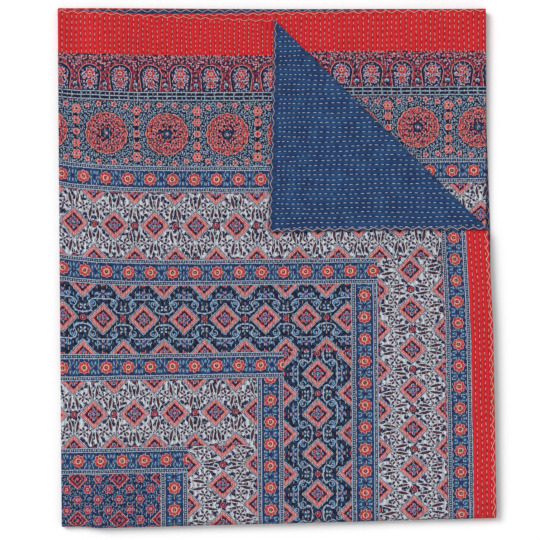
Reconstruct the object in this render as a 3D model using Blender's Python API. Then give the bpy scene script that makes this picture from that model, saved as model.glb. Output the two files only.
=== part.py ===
# A hand-quilted cotton bedspread, folded for a shelf. It is two cloths, a printed face and a plain backing,
# cut to one size and quilted together. The right and left thirds are folded in over the middle, the lower
# half is folded under, and the open corner of the top layer is turned back to show the backing.
# Metres, +Z up, X across the folded quilt, Y up the folded quilt, lying on Z = 0.

import math
from collections import namedtuple

import bmesh
import bpy
import numpy as np
from mathutils import Matrix, Vector

# The quilt before it is folded
QUILT_WIDTH = 2.743
QUILT_LENGTH = 2.286
CORNER_ROUND = 0.009
CLOTH_THICK = 0.0013
CLOTH_GAP = 0.0003
QUILT_THICK = 2 * CLOTH_THICK + CLOTH_GAP

# Rows of running stitch, along the quilt's length, pull the two cloths together
ROW_PITCH = 0.0106
ROW_DEPTH = 0.0005

# Where it is folded, measured on the folded quilt
LAYER_PITCH = 0.0043
LEFT_HINGE_X = -0.4740
RIGHT_HINGE_X = 0.4676
SIDE_EDGE_X = 0.4743
TOP_EDGE_Y = 0.5672
TURNED_TOP = 0.502
TURNED_SIDE = 0.501

# A tight fold turns at this radius, at the middle of the quilt's thickness. The lower fold goes round the
# whole stack, and takes this much of the quilt's length.
TIGHT_RADIUS = LAYER_PITCH / 2
HALF_TURN = math.pi * TIGHT_RADIUS
LOWER_FOLD_TAKES = 0.020
LOWER_HINGE_Y = TOP_EDGE_Y - (QUILT_LENGTH - LOWER_FOLD_TAKES) / 2

# How far each layer's top edge falls short of square, at places across the folded quilt
TopEdge = namedtuple("TopEdge", "across top_layer second_layer lowest_layer")
TOP_EDGES = (
    TopEdge(-0.475, 0.002, 0.009, -0.006),
    TopEdge(-0.320, 0.012, 0.009, 0.000),
    TopEdge(-0.160, 0.020, 0.009, 0.001),
    TopEdge(0.000, 0.026, 0.009, 0.000),
    TopEdge(0.160, 0.021, 0.003, 0.000),
    TopEdge(0.320, 0.015, 0.001, -0.002),
    TopEdge(0.475, 0.010, 0.000, -0.003),
)

# How far the top and lowest layers' side edges stand out, at places up the folded quilt
SideEdge = namedtuple("SideEdge", "up top_layer lowest_layer")
SIDE_EDGES = (
    SideEdge(0.567, 0.000, -0.001),
    SideEdge(0.300, -0.001, 0.000),
    SideEdge(0.070, 0.001, 0.008),
    SideEdge(-0.140, 0.012, 0.010),
    SideEdge(-0.350, 0.016, 0.013),
    SideEdge(-0.566, 0.020, 0.020),
)

# How far the folded quilt leans, hangs and puffs up
LEFT_EDGE_LEAN = 0.009
LOWER_LEFT_DROP = 0.014
LOWER_RIGHT_DROP = -0.010
PUFF_SHARE = 0.07
PUFF_SPAN = 0.52

# Past the edge of the inner third the layers settle on each other
SETTLE_CLEAR = 0.012
SETTLE_WIDTH = 0.060

# Facets
BEND_STEPS = 4
LOWER_BEND_STEPS = 6
SETTLE_STEPS = 3

# The flat quilt lies printed face down, with its left third to the left of the middle third
FLAT_LEFT = 2 * LEFT_HINGE_X - HALF_TURN - SIDE_EDGE_X
FLAT_RIGHT = FLAT_LEFT + QUILT_WIDTH
FLAT_TOP = TOP_EDGE_Y
FLAT_BOTTOM = TOP_EDGE_Y - QUILT_LENGTH
INNER_EDGE_X = 2 * RIGHT_HINGE_X + HALF_TURN - FLAT_RIGHT
SETTLE_END_X = INNER_EDGE_X - SETTLE_CLEAR
SETTLE_START_X = SETTLE_END_X - SETTLE_WIDTH
TURNED_HINGE = np.array([FLAT_LEFT + TURNED_TOP, FLAT_TOP])
TURNED_TOWARD = np.array([-TURNED_SIDE, TURNED_TOP]) / math.hypot(TURNED_SIDE, TURNED_TOP)


def in_left_third(x):
    # the flat place that comes to lie at x when the left third is folded in, and the other way round
    return 2 * LEFT_HINGE_X - HALF_TURN - x


def in_right_third(x):
    return 2 * RIGHT_HINGE_X + HALF_TURN - x


def in_lower_half(y):
    return 2 * LOWER_HINGE_Y - LOWER_FOLD_TAKES - y


def past_turned_hinge(x, y):
    return (np.array([x, y]) - TURNED_HINGE) @ TURNED_TOWARD


def smooth_step(value, start, end):
    share = np.clip((value - start) / (end - start), 0, 1)
    return share * share * (3 - 2 * share)


def score(bm, faces, place, toward):
    # cuts these faces along an upright plane
    edges = {edge for face in faces for edge in face.edges}
    verts = {vert for face in faces for vert in face.verts}
    bmesh.ops.bisect_plane(
        bm,
        geom=list(faces) + list(edges) + list(verts),
        dist=1e-6,
        plane_co=Vector((place[0], place[1], 0)),
        plane_no=Vector((toward[0], toward[1], 0)),
    )


def score_panels(bm):
    # the same cells in every layer, so that the layers stay parallel
    for row in TOP_EDGES[1:-1]:
        for x in (in_left_third(row.across), row.across, in_right_third(row.across)):
            score(bm, bm.faces, (x, 0), (1, 0))
    for row in SIDE_EDGES[1:-1]:
        for y in (row.up, in_lower_half(row.up)):
            score(bm, bm.faces, (0, y), (0, 1))


def pull_edges(bm):
    # The cut edges leave the square by the amounts in the two tables.
    rows = TOP_EDGES[::-1]
    across = [in_left_third(row.across) for row in rows] + [in_right_third(row.across) for row in rows]
    top = [row.top_layer for row in rows] + [row.second_layer for row in rows]
    bottom = [row.lowest_layer for row in rows] + [0] * len(rows)
    along = [in_lower_half(row.up) for row in SIDE_EDGES] + [row.up for row in SIDE_EDGES[::-1]]
    side = [row.lowest_layer for row in SIDE_EDGES] + [row.top_layer for row in SIDE_EDGES[::-1]]
    rim = 1.1 * CORNER_ROUND
    for vert in bm.verts:
        x, y, _ = vert.co
        if y > FLAT_TOP - rim:
            vert.co.y -= np.interp(x, across, top)
        if y < FLAT_BOTTOM + rim:
            vert.co.y += np.interp(x, across, bottom)
        if x < FLAT_LEFT + rim:
            vert.co.x -= np.interp(y, along, side)


def score_folds(bm):
    for step in np.linspace(0, HALF_TURN, BEND_STEPS + 1):
        score(bm, bm.faces, (LEFT_HINGE_X - step, 0), (1, 0))
        score(bm, bm.faces, (RIGHT_HINGE_X + step, 0), (1, 0))
        score(bm, bm.faces, TURNED_HINGE + step * TURNED_TOWARD, TURNED_TOWARD)
    for step in np.linspace(0, LOWER_FOLD_TAKES, LOWER_BEND_STEPS + 1):
        score(bm, bm.faces, (0, LOWER_HINGE_Y - step), (0, 1))
    for x in np.linspace(SETTLE_START_X, SETTLE_END_X, SETTLE_STEPS + 1):
        score(bm, bm.faces, (x, 0), (1, 0))
        score(bm, bm.faces, (in_left_third(x), 0), (1, 0))


def flat_pattern():
    # the quilt's outline with all its folds scored, as flat triangles
    bm = bmesh.new()
    centre = Vector(((FLAT_LEFT + FLAT_RIGHT) / 2, (FLAT_TOP + FLAT_BOTTOM) / 2, 0))
    place = Matrix.Translation(centre) @ Matrix.Diagonal((QUILT_WIDTH, QUILT_LENGTH, 1, 1))
    bmesh.ops.create_grid(bm, x_segments=1, y_segments=1, size=0.5, matrix=place)
    bmesh.ops.bevel(bm, geom=bm.verts[:], offset=CORNER_ROUND, segments=3, profile=0.5, affect="VERTICES")
    score_panels(bm)
    pull_edges(bm)
    score_folds(bm)
    bmesh.ops.triangulate(bm, faces=bm.faces[:])
    return bm


def face_shows(x, y):
    # the printed side of the top layer beside its turned corner, and of the right third under that corner
    if y < LOWER_HINGE_Y:
        return False
    if x < LEFT_HINGE_X - HALF_TURN:
        return past_turned_hinge(x, y) < 0
    return x > RIGHT_HINGE_X + HALF_TURN and past_turned_hinge(in_left_third(in_right_third(x)), y) > 0


def backing_shows(x, y):
    # the plain side of the turned corner
    return past_turned_hinge(x, y) > HALF_TURN


def score_rows(bm, side, shows):
    # Two cuts a row, one on the stitches and one between, where the outer side shows when folded.
    half_pitch = ROW_PITCH / 2
    for k in range(math.ceil(FLAT_LEFT / half_pitch), math.floor(FLAT_RIGHT / half_pitch) + 1):
        x = k * half_pitch
        crossed = [
            face
            for face in bm.faces
            if face.normal.z * side > 0.5
            and min(vert.co.x for vert in face.verts) < x < max(vert.co.x for vert in face.verts)
            and shows(*face.calc_center_median()[:2])
        ]
        if crossed:
            score(bm, crossed, (x, 0), (1, 0))


def press_rows(bm, side, outer_z, shows):
    # The cloth is drawn in along each row of stitches.
    for vert in bm.verts:
        if abs(vert.co.z - outer_z) < 1e-6 and shows(vert.co.x, vert.co.y):
            drawn_in = 0.5 + 0.5 * math.cos(2 * math.pi * vert.co.x / ROW_PITCH)
            vert.co.z -= side * ROW_DEPTH * drawn_in


def flat_cloth(side, shows):
    # One cloth, on the printed side (-1) or the plain side (1) of the gap between the two
    bm = flat_pattern()
    lifted = bmesh.ops.extrude_face_region(bm, geom=bm.faces[:], use_keep_orig=True)
    outer_verts = [part for part in lifted["geom"] if isinstance(part, bmesh.types.BMVert)]
    bmesh.ops.translate(bm, verts=outer_verts, vec=(0, 0, side * CLOTH_THICK))
    bmesh.ops.translate(bm, verts=bm.verts[:], vec=(0, 0, side * CLOTH_GAP / 2))
    bmesh.ops.recalc_face_normals(bm, faces=bm.faces[:])
    score_rows(bm, side, shows)
    bmesh.ops.triangulate(bm, faces=bm.faces[:])
    press_rows(bm, side, side * QUILT_THICK / 2, shows)
    return bm


def fold(points, hinge, toward, over, takes):
    # What lies past the hinge goes round half a circle and comes back over (1) or under (-1) the rest.
    past = (points[:, :2] - hinge) @ toward
    turn = np.clip(past / takes, 0, 1) * math.pi
    arm = TIGHT_RADIUS - over * points[:, 2]
    reach = np.minimum(past, 0) + arm * np.sin(turn) - np.maximum(past - takes, 0)
    folded = points.copy()
    folded[:, :2] += np.outer(reach - past, toward)
    folded[:, 2] = over * (TIGHT_RADIUS - arm * np.cos(turn))
    return folded


def fold_in_three(points):
    # The corner is turned back first, towards the printed side. The left third then steps up over the
    # right third's edge.
    points = fold(points, TURNED_HINGE, TURNED_TOWARD, -1, HALF_TURN)
    points = fold(points, (RIGHT_HINGE_X, 0), np.array([1, 0]), 1, HALF_TURN)
    points[:, 2] -= LAYER_PITCH * smooth_step(
        -points[:, 0], -in_left_third(SETTLE_START_X), -in_left_third(SETTLE_END_X)
    )
    return fold(points, (LEFT_HINGE_X, 0), np.array([-1, 0]), 1, HALF_TURN)


def fold_in_half(points):
    # The lower half goes under. The lowest layer lies flat, and the left side, two layers thinner,
    # comes down to it.
    points = fold(points, (0, LOWER_HINGE_Y), np.array([0, -1]), -1, LOWER_FOLD_TAKES)
    points[:, 2] += LAYER_PITCH * (2 + smooth_step(points[:, 0], SETTLE_START_X, SETTLE_END_X))
    points[:, 2] += QUILT_THICK / 2
    return points


def lie_unevenly(points):
    # The left edge leans, the lower fold slants, and the layers above the lowest puff up here and there.
    x, y, z = points.T
    across = (x - LEFT_HINGE_X) / (RIGHT_HINGE_X - LEFT_HINGE_X)
    down = np.clip((TOP_EDGE_Y - y) / (TOP_EDGE_Y - LOWER_HINGE_Y), 0, 1)
    moved_x = x + LEFT_EDGE_LEAN * (1 - across) * (down - 0.5)
    moved_y = y - down * (LOWER_LEFT_DROP * (1 - across) + LOWER_RIGHT_DROP * across)
    turn = math.pi / PUFF_SPAN
    puff = np.sin(turn * (x + 0.35 * y)) * np.cos(turn * (0.9 * y - 0.3 * x) + 0.8)
    return np.column_stack([moved_x, moved_y, z * (1 + PUFF_SHARE * puff)])


def cloth_material(name, colour):
    material = bpy.data.materials.new(name)
    material.use_nodes = True
    shader = material.node_tree.nodes["Principled BSDF"]
    shader.inputs["Base Color"].default_value = (*colour, 1)
    shader.inputs["Roughness"].default_value = 0.9
    shader.inputs["Metallic"].default_value = 0.0
    return material


def folded_cloth(name, side, shows, colour, collection):
    bm = flat_cloth(side, shows)
    points = np.array([vert.co for vert in bm.verts], float)
    points = lie_unevenly(fold_in_half(fold_in_three(points)))
    for vert, point in zip(bm.verts, points):
        vert.co = point
    mesh = bpy.data.meshes.new(name)
    bm.to_mesh(mesh)
    bm.free()
    mesh.materials.append(cloth_material(name, colour))
    mesh.shade_smooth()
    mesh.set_sharp_from_angle(angle=math.radians(40))
    cloth = bpy.data.objects.new(name, mesh)
    collection.objects.link(cloth)
    return cloth


def centre_on_origin(cloths):
    # the box of both cloths is centred on the Z axis and stands on Z = 0
    corners = np.array([vert.co for cloth in cloths for vert in cloth.data.vertices], float)
    low, high = corners.min(axis=0), corners.max(axis=0)
    shift = Vector((-(low[0] + high[0]) / 2, -(low[1] + high[1]) / 2, -low[2]))
    for cloth in cloths:
        cloth.data.transform(Matrix.Translation(shift))


def main():
    for obj in list(bpy.data.objects):
        bpy.data.objects.remove(obj)
    quilt = bpy.data.collections.new("folded quilt")
    bpy.context.scene.collection.children.link(quilt)
    face = folded_cloth("printed_face", -1, face_shows, (0.30, 0.17, 0.24), quilt)
    backing = folded_cloth("blue_backing", 1, backing_shows, (0.02, 0.07, 0.20), quilt)
    centre_on_origin([face, backing])


main()
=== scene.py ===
# The looks of a hand-quilted, block-printed cotton bedspread, folded for a shelf, one corner turned back
import math

import bmesh
import bpy
import numpy as np
from mathutils import Matrix, Vector


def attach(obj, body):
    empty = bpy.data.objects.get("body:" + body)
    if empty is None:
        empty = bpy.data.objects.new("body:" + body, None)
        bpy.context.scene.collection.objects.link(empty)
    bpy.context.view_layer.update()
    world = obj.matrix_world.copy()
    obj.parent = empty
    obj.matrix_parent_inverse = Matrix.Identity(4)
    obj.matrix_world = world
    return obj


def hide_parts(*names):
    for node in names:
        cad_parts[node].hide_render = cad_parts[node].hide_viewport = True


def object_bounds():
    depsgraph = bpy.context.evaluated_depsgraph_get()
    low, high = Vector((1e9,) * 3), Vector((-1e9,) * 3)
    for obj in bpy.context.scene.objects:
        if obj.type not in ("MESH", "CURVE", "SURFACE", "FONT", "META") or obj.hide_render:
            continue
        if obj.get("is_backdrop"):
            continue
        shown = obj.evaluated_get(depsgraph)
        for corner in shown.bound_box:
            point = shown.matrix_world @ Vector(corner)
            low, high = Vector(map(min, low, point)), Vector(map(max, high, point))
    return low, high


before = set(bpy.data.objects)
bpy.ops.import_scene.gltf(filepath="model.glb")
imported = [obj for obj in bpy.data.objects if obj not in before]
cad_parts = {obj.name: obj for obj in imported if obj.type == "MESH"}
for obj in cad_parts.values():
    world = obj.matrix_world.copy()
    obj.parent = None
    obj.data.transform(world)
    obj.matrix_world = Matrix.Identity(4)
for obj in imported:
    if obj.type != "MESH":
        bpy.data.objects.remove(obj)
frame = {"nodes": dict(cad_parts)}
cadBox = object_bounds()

print("frame loaded:", ", ".join(frame["nodes"]))

# Metres throughout. The flat quilt lies printed face down, X across it and Y along it, and is then folded.
quilt = {
    "width": 2.743,
    "length": 2.286,
    "cornerRound": 0.009,
    "clothThick": 0.0013,
    "clothGap": 0.0003,  # between the two cloths
    "layerPitch": 0.0043,  # from layer to layer of the folded quilt
    "leftHingeX": -0.4740,
    "rightHingeX": 0.4676,
    "sideEdgeX": 0.4743,
    "topEdgeY": 0.5672,
    "turnedTop": 0.502,  # how much of the top and side edges is turned back with the corner
    "turnedSide": 0.501,
    "lowerFoldTakes": 0.020,
}
leftHingeX, rightHingeX = quilt["leftHingeX"], quilt["rightHingeX"]
cornerRound = quilt["cornerRound"]
halfThick = quilt["clothThick"] + quilt["clothGap"] / 2
tightRadius = quilt["layerPitch"] / 2
halfTurn = math.pi * tightRadius
flatLeft = 2 * leftHingeX - halfTurn - quilt["sideEdgeX"]
flatRight = flatLeft + quilt["width"]
flatTop = quilt["topEdgeY"]
flatBottom = flatTop - quilt["length"]
lowerHingeY = flatTop - (quilt["length"] - quilt["lowerFoldTakes"]) / 2
turnedHinge = np.array([flatLeft + quilt["turnedTop"], flatTop])
turnedToward = np.array([-quilt["turnedSide"], quilt["turnedTop"]])
turnedToward = turnedToward / np.linalg.norm(turnedToward)

# How the pile of layers lies. Each row of topEdges is a place across, then how far the top, second and
# lowest layers fall short there. Each row of sideEdges is a place up, then how far the top and lowest
# layers stand out.
lie = {
    "topEdges": (
        (-0.475, 0.002, 0.014, -0.006),
        (-0.320, 0.012, 0.014, 0.000),
        (-0.160, 0.020, 0.012, 0.001),
        (0.000, 0.026, 0.009, 0.000),
        (0.160, 0.021, 0.006, 0.000),
        (0.320, 0.015, 0.003, -0.002),
        (0.475, 0.010, 0.001, -0.003),
    ),
    "sideEdges": (
        (0.567, 0.000, -0.001),
        (0.300, -0.001, 0.000),
        (0.070, 0.001, 0.008),
        (-0.140, 0.012, 0.010),
        (-0.350, 0.016, 0.013),
        (-0.566, 0.020, 0.020),
    ),
    "topReach": 0.098,  # how far into the cloth an uneven edge still pulls
    "sideFrom": 0.04,
    "sideReach": 0.37,
    "leftLean": 0.009,
    "lowerShort": 0.004,  # how far the lower half falls short of the upper one at the top
    "lowerLeftDrop": 0.014,
    "lowerRightDrop": -0.010,
    "puffShare": 0.07,
    "puffSpan": 0.52,
    "settleClear": 0.012,
    "settleWidth": 0.060,
}

# Rows of running stitch along the quilt's length
rows = {
    "pitch": 0.0106,
    "depth": 0.0006,  # how far a row draws the cloth in
    "wander": 0.0013,
    "columnsEach": 3,
}


def smoothStep(value, start, end):
    share = np.clip((value - start) / (end - start), 0, 1)
    return share * share * (3 - 2 * share)


def inLeftThird(x):
    # the flat place that comes to lie at x when the left third is folded in, and the other way round
    return 2 * leftHingeX - halfTurn - x


def inRightThird(x):
    return 2 * rightHingeX + halfTurn - x


def inLowerHalf(y):
    return 2 * lowerHingeY - quilt["lowerFoldTakes"] - y


innerEdgeX = inRightThird(flatRight)
settleEndX = innerEdgeX - lie["settleClear"]
settleStartX = settleEndX - lie["settleWidth"]


def asLaid(x, y):
    # where a place on the square-cut quilt really lies before folding: corners rounded, edges uneven
    middleX, middleY = (flatLeft + flatRight) / 2, (flatTop + flatBottom) / 2
    beyondX = np.maximum(np.abs(x - middleX) - quilt["width"] / 2 + cornerRound, 0)
    beyondY = np.maximum(np.abs(y - middleY) - quilt["length"] / 2 + cornerRound, 0)
    span = np.hypot(beyondX, beyondY)
    kept = np.where(span > 0, np.maximum(beyondX, beyondY) / np.maximum(span, 1e-9), 1)
    laidX = x - np.sign(x - middleX) * beyondX * (1 - kept)
    laidY = y - np.sign(y - middleY) * beyondY * (1 - kept)
    tops = np.array(lie["topEdges"])[::-1]
    across = np.concatenate([inLeftThird(tops[:, 0]), inRightThird(tops[:, 0])])
    upperDip = np.interp(x, across, np.concatenate([tops[:, 1], tops[:, 2]]))
    lowerDip = np.interp(x, across, np.concatenate([tops[:, 3], 0 * tops[:, 3]])) + lie["lowerShort"]
    sides = np.array(lie["sideEdges"])
    along = np.concatenate([inLowerHalf(sides[:, 0]), sides[::-1, 0]])
    out = np.interp(y, along, np.concatenate([sides[:, 2], sides[::-1, 1]]))
    laidY = laidY - upperDip * np.clip(1 - (flatTop - y) / lie["topReach"], 0, 1)
    laidY = laidY + lowerDip * np.clip(1 - (y - flatBottom) / lie["topReach"], 0, 1)
    laidX = laidX - out * (1 - smoothStep(x - flatLeft, lie["sideFrom"], lie["sideReach"]))
    return laidX, laidY


def fold(points, hinge, toward, over, takes):
    # What lies past the hinge goes round half a circle and comes back over (1) or under (-1) the rest.
    past = (points[:, :2] - hinge) @ toward
    turn = np.clip(past / takes, 0, 1) * math.pi
    arm = tightRadius - over * points[:, 2]
    reach = np.minimum(past, 0) + arm * np.sin(turn) - np.maximum(past - takes, 0)
    folded = points.copy()
    folded[:, :2] += np.outer(reach - past, toward)
    folded[:, 2] = over * (tightRadius - arm * np.cos(turn))
    return folded


def foldInThree(points):
    points = fold(points, turnedHinge, turnedToward, -1, halfTurn)
    points = fold(points, (rightHingeX, 0), np.array([1, 0]), 1, halfTurn)
    stepped = smoothStep(-points[:, 0], -inLeftThird(settleStartX), -inLeftThird(settleEndX))
    points[:, 2] -= quilt["layerPitch"] * stepped
    return fold(points, (leftHingeX, 0), np.array([-1, 0]), 1, halfTurn)


def foldInHalf(points):
    points = fold(points, (0, lowerHingeY), np.array([0, -1]), -1, quilt["lowerFoldTakes"])
    points[:, 2] += quilt["layerPitch"] * (2 + smoothStep(points[:, 0], settleStartX, settleEndX))
    points[:, 2] += halfThick
    return points


def lieUnevenly(points):
    x, y, z = points.T
    across = (x - leftHingeX) / (rightHingeX - leftHingeX)
    down = np.clip((flatTop - y) / (flatTop - lowerHingeY), 0, 1)
    movedX = x + lie["leftLean"] * (1 - across) * (down - 0.5)
    movedY = y - down * (lie["lowerLeftDrop"] * (1 - across) + lie["lowerRightDrop"] * across)
    turn = math.pi / lie["puffSpan"]
    puff = np.sin(turn * (x + 0.35 * y)) * np.cos(turn * (0.9 * y - 0.3 * x) + 0.8)
    return np.column_stack([movedX, movedY, z * (1 + lie["puffShare"] * puff)])


def foldUp(points):
    return lieUnevenly(foldInHalf(foldInThree(points)))


def foldedPlace(x, y, z):
    # x and y on the square-cut quilt, z up from its middle, to the folded quilt
    laidX, laidY = asLaid(x, y)
    return foldUp(np.column_stack([laidX, laidY, z]))


def rowShift(x, y):
    # Rows sewn by eye wander, and close up here and open out there.
    shift = 0.6 * np.sin(47 * x + 21 * y) + 0.5 * np.sin(83 * x - 39 * y + 1.7)
    shift += 0.45 * np.sin(131 * x + 68 * y + 0.6) + 0.3 * np.sin(29 * y + 2.1)
    return rows["wander"] * shift


def onRow(rowX, y):
    # the place along a row that, without the wander, would be a straight line at rowX
    x = np.array(rowX, float)
    for _ in range(6):
        x = rowX - rowShift(x, y)
    return x


def drawnIn(x, y):
    # how far the rows draw the cloth in at a place
    turn = 2 * math.pi * (x + rowShift(x, y)) / rows["pitch"]
    return rows["depth"] * (0.5 + 0.5 * np.cos(turn)) ** 1.5


def gridLines(start, end, step):
    count = max(1, round((end - start) / step))
    return list(np.linspace(start, end, count + 1))


def thinned(lines, gap):
    # the lines in order, without those that come closer than gap to the one before
    kept = []
    for line in sorted(lines):
        if not kept or line - kept[-1] > gap:
            kept.append(line)
    return np.array(kept)


# The print lies a little crooked: it rides up by the left fold, and closes up on the right third.
crookedPrint = {
    "byFold": 0.098,  # how soon the left fold's pull fades
    "pulled": 0.0183,
    "raised": 0.0058,
    "heights": ((0, 0.10, 0.37, 0.48, 0.68, 0.78), (0.3, 0.45, 1.0, 1.0, 0.8, 0.0)),
    "closedUp": 0.030,
    "roundFold": 0.9,  # the share of the lower fold that the top layer goes round and the print doesn't
}


def printShift(x, y):
    down = flatTop - y
    byLeftFold = np.exp(-np.maximum(inLeftThird(x) - leftHingeX, 0) / crookedPrint["byFold"])
    pulled = crookedPrint["pulled"] * byLeftFold * np.interp(down, *crookedPrint["heights"])
    roundFold = crookedPrint["roundFold"] * np.clip(lowerHingeY - y, 0, quilt["lowerFoldTakes"])
    leftThird = 1 - smoothStep(x, leftHingeX, 0)
    rightThird = smoothStep(x, 0, rightHingeX)
    shift = leftThird * (pulled - crookedPrint["raised"] + roundFold)
    return shift + rightThird * crookedPrint["closedUp"] * down


def markPlaces(mesh, x, y):
    # each point's place in the print and among the rows, from its flat place
    corner = np.empty(len(mesh.loops), np.int32)
    mesh.loops.foreach_get("vertex_index", corner)
    inPrint = np.column_stack([x - flatLeft, flatTop - y + printShift(x, y)])
    inRows = np.column_stack([(x + rowShift(x, y)) / rows["pitch"], y / rows["pitch"]])
    for layer, place in (("printPlace", inPrint), ("rowPlace", inRows)):
        made = mesh.uv_layers.new(name=layer)
        made.data.foreach_set("uv", place[corner].astype(np.float32).ravel())


# One cloth is a fine grid in which every fold line and every row of stitches has its own columns.
grid = {
    "coarseAcross": 0.045,
    "fineDown": 0.024,
    "coarseDown": 0.030,
    "foldSteps": 7,
    "settleSteps": 6,
    "lowerSteps": 9,
    "cornerSteps": (0, 0.3, 0.6, 1.0),
    "clear": 0.0012,  # no other column comes this near a fold line
    "straightEdge": 0.006,  # columns start to wander this far from the sides
    "wanderFrom": 0.03,  # and wander in full this far from a side or a fold
    "nearTurned": 0.03,
    "closest": 0.0004,
}


def flatGrid(fineAcross):
    # the columns and the lines down one cloth. fineAcross gives the flat places across that show.
    pitch, closest = rows["pitch"], grid["closest"]
    fineStep = pitch / rows["columnsEach"]
    lines = []
    for start, end in fineAcross:
        first, last = math.ceil(start / fineStep), math.floor(end / fineStep)
        lines += [k * fineStep for k in range(first, last + 1)]
    fine = np.array(lines)
    for line in gridLines(flatLeft + pitch, flatRight - pitch, grid["coarseAcross"]):
        if np.abs(fine - line).min() > fineStep:
            lines.append(line)
    turn = np.linspace(0, halfTurn, grid["foldSteps"])
    settles = np.linspace(settleStartX, settleEndX, grid["settleSteps"])
    corner = cornerRound * np.array(grid["cornerSteps"])
    folds = [leftHingeX - turn, rightHingeX + turn, settles, inLeftThird(settles)]
    fixed = np.concatenate([*folds, flatLeft + corner, flatRight - corner])
    lines = [line for line in lines if np.abs(fixed - line).min() > grid["clear"]]
    lower = lowerHingeY - np.linspace(0, quilt["lowerFoldTakes"], grid["lowerSteps"])
    fineDown, coarseDown = grid["fineDown"], grid["coarseDown"]
    downs = gridLines(lowerHingeY + fineDown, flatTop - 2 * cornerRound, fineDown)
    downs += gridLines(flatBottom + 2 * cornerRound, lower[-1] - fineDown, coarseDown)
    downs += [*lower, *(flatTop - corner), *(flatBottom + corner)]
    return thinned([*lines, *fixed], closest), thinned(downs, closest)


def flatCloth(columns, downs):
    # the grid laid out flat, its columns wandering with the rows, cut along the turned corner's fold. Each
    # point keeps its place on the square-cut quilt.
    x, y = np.meshgrid(columns, downs)
    fromSide = np.minimum(x - flatLeft, flatRight - x)
    free = smoothStep(fromSide, grid["straightEdge"], grid["wanderFrom"])
    for hinge in (leftHingeX - halfTurn / 2, rightHingeX + halfTurn / 2):
        free = free * smoothStep(np.abs(x - hinge), halfTurn, grid["wanderFrom"])
    x = x + free * (onRow(x, y) - x)
    laidX, laidY = asLaid(x, y)
    places = np.column_stack([laidX.ravel(), laidY.ravel(), np.zeros(x.size)])
    index = np.arange(x.size).reshape(x.shape)
    quads = np.stack([index[:-1, :-1], index[:-1, 1:], index[1:, 1:], index[1:, :-1]], axis=-1)
    mesh = bpy.data.meshes.new("flat cloth")
    mesh.from_pydata(places, [], quads.reshape(-1, 4).tolist())
    bm = bmesh.new()
    bm.from_mesh(mesh)
    bpy.data.meshes.remove(mesh)
    flatPlace = bm.verts.layers.float_vector.new("flatPlace")
    for vert, flatX, flatY in zip(bm.verts, x.ravel(), y.ravel()):
        vert[flatPlace] = (flatX, flatY, 0)
    for step in np.linspace(0, halfTurn, grid["foldSteps"]):
        place = turnedHinge + step * turnedToward
        middles = np.array([face.calc_center_median()[:2] for face in bm.faces])
        isNear = np.abs((middles - place) @ turnedToward) < grid["nearTurned"]
        near = [face for face, cut in zip(bm.faces, isNear) if cut]
        around = dict.fromkeys(part for face in near for part in (*face.edges, *face.verts))
        point, across = Vector((*place, 0)), Vector((*turnedToward, 0))
        geometry = [*near, *around]
        bmesh.ops.bisect_plane(bm, geom=geometry, dist=1e-5, plane_co=point, plane_no=across)
    return bm


def addObject(name, data, place=(0, 0, 0)):
    made = bpy.data.objects.new(name, data)
    made.location = place
    bpy.context.scene.collection.objects.link(made)
    return made


def addPiece(name, mesh, material):
    mesh.shade_smooth()
    mesh.materials.append(material)
    return addObject(name, mesh)


def faceOrder(face):
    # Extruding leaves the faces of the sides in any order, so they are sorted by their corners' numbers.
    corners = [vert.index for vert in face.verts]
    return 1e6 * min(corners) + sum(corners)


def makeCloth(name, side, fineAcross, material):
    # side -1 is the printed face, 1 the plain backing
    bm = flatCloth(*flatGrid(fineAcross))
    outerZ, innerZ = side * halfThick, side * quilt["clothGap"] / 2
    lifted = bmesh.ops.extrude_face_region(bm, geom=bm.faces[:], use_keep_orig=True)
    outer = {part for part in lifted["geom"] if isinstance(part, bmesh.types.BMVert)}
    bm.verts.index_update()
    bm.faces.sort(key=faceOrder)
    isOuter = np.array([vert in outer for vert in bm.verts])
    bmesh.ops.recalc_face_normals(bm, faces=bm.faces[:])
    if sum(face.normal.z for face in bm.faces if all(vert in outer for vert in face.verts)) * side < 0:
        bmesh.ops.reverse_faces(bm, faces=bm.faces[:])
    flatPlace = bm.verts.layers.float_vector["flatPlace"]
    x, y = np.array([vert[flatPlace][:2] for vert in bm.verts]).T
    z = np.where(isOuter, outerZ - side * drawnIn(x, y), innerZ)
    points = foldUp(np.column_stack([[vert.co[:2] for vert in bm.verts], z]))
    bm.verts.layers.float_vector.remove(flatPlace)
    mesh = bpy.data.meshes.new(name)
    bm.to_mesh(mesh)
    bm.free()
    mesh.vertices.foreach_set("co", points.astype(np.float32).ravel())
    markPlaces(mesh, x, y)
    mesh.update()
    return addPiece(name, mesh, material)


current = {"tree": None}  # the nodes of the material that is being made


def add(kind, *values, **settings):
    # adds a node with its settings, links or fills its sockets in order, and gives its first output. What
    # follows a dot in its kind is its operation.
    tree = current["tree"]
    kind, _, operation = kind.partition(".")
    made = tree.nodes.new("ShaderNode" + kind)
    if operation:
        settings["operation"] = operation
    for name, setting in settings.items():
        setattr(made, name, setting)
    sockets = [socket for socket in made.inputs if socket.enabled]
    for socket, value in zip(sockets, values):
        if isinstance(value, bpy.types.NodeSocket):
            tree.links.new(value, socket)
        elif value is not None:
            socket.default_value = value
    return next(socket for socket in made.outputs if socket.enabled)


def newMaterial(name):
    # a material, whose nodes are the ones that add adds to from here on
    material = bpy.data.materials.new(name)
    material.use_nodes = True
    current["tree"] = material.node_tree
    return material, material.node_tree.nodes["Principled BSDF"]


def linear(code):
    # an sRGB hex colour as linear light
    parts = [int(code[k : k + 2], 16) / 255 for k in (1, 3, 5)]
    return tuple(c / 12.92 if c <= 0.04045 else ((c + 0.055) / 1.055) ** 2.4 for c in parts) + (1.0,)


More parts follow.
